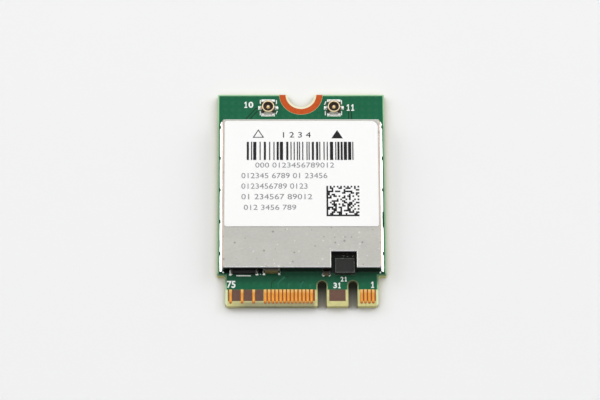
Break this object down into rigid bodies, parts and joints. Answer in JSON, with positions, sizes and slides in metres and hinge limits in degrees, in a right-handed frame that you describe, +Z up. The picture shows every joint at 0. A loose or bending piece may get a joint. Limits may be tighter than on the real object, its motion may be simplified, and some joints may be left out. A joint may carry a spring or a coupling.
{
  "type": "laptop wifi card",
  "caption": "Short plug-in radio card for a laptop: notched board with gold contact fingers, shield can, label and two antenna sockets.",
  "frame": {"origin": "middle of the board's 22 x 30 mm outline, on its underside", "axes": "+Y to the edge with the half-moon screw notch, -Y to the plug-in tongue, +Z up from the side that carries the parts, +X to the right with the parts up and the tongue towards the viewer"},
  "size_m": [0.022, 0.03, 0.0023],
  "materials": {
    "laminate": "bare glass-fibre laminate, pale yellow green",
    "mask": "green solder mask, semi gloss",
    "gold": "gold plated copper",
    "ring_copper": "bare copper, orange",
    "tinned": "tinned copper, bright",
    "can_sheet": "plain nickel alloy sheet, satin",
    "label_paper": "white label film, matt",
    "label_ink": "black and grey print",
    "legend_ink": "white legend print",
    "insulator": "black moulded insulator",
    "receptacle_gold": "gold plated contact",
    "coil_block": "dark grey pressed metal powder block",
    "black_body": "black moulded body",
    "tan_ceramic": "tan ceramic body",
    "white_ceramic": "white ceramic body",
    "end_cap": "tinned end cap"
  },
  "bodies": {
    "root": {"antenna_amplifiers": "black_body", "antenna_amplifiers_joints": "end_cap", "bluetooth_chip": "black_body", "bluetooth_chip_joints": "end_cap", "bulk_capacitor_body": "tan_ceramic", "bulk_capacitor_caps": "end_cap", "capacitor_bodies": "tan_ceramic", "capacitor_caps": "end_cap", "contact_fingers_bottom": "gold", "contact_fingers_top": "gold", "crystal_joints": "end_cap", "crystal_lid": "can_sheet", "crystal_tray": "white_ceramic", "diplexer_bodies": "white_ceramic", "diplexer_caps": "end_cap", "filter_body": "black_body", "filter_caps": "end_cap", "front_capacitor_bodies": "tan_ceramic", "front_capacitor_caps": "end_cap", "label": "label_paper", "label_print": "label_ink", "laminate_board": "laminate", "left_antenna_insulator": "insulator", "left_antenna_pin": "receptacle_gold", "left_antenna_shell": "receptacle_gold", "legend_print": "legend_ink", "memory_chip": "black_body", "memory_chip_joints": "end_cap", "mounting_ring_bottom": "ring_copper", "mounting_ring_top": "ring_copper", "part_lands": "gold", "power_coil": "coil_block", "power_coil_feet": "end_cap", "power_converter": "black_body", "power_converter_joints": "end_cap", "radio_chip": "black_body", "radio_chip_joints": "end_cap", "receptacle_lands": "tinned", "receptacle_solder": "tinned", "resistor_bodies": "black_body", "resistor_caps": "end_cap", "right_antenna_insulator": "insulator", "right_antenna_pin": "receptacle_gold", "right_antenna_shell": "receptacle_gold", "shield_can": "can_sheet", "shield_ground_lands": "tinned", "shield_solder": "tinned", "solder_mask_bottom": "mask", "solder_mask_top": "mask", "test_pads": "gold", "tuning_coil_bodies": "white_ceramic", "tuning_coil_caps": "end_cap"}
  },
  "joints": []
}
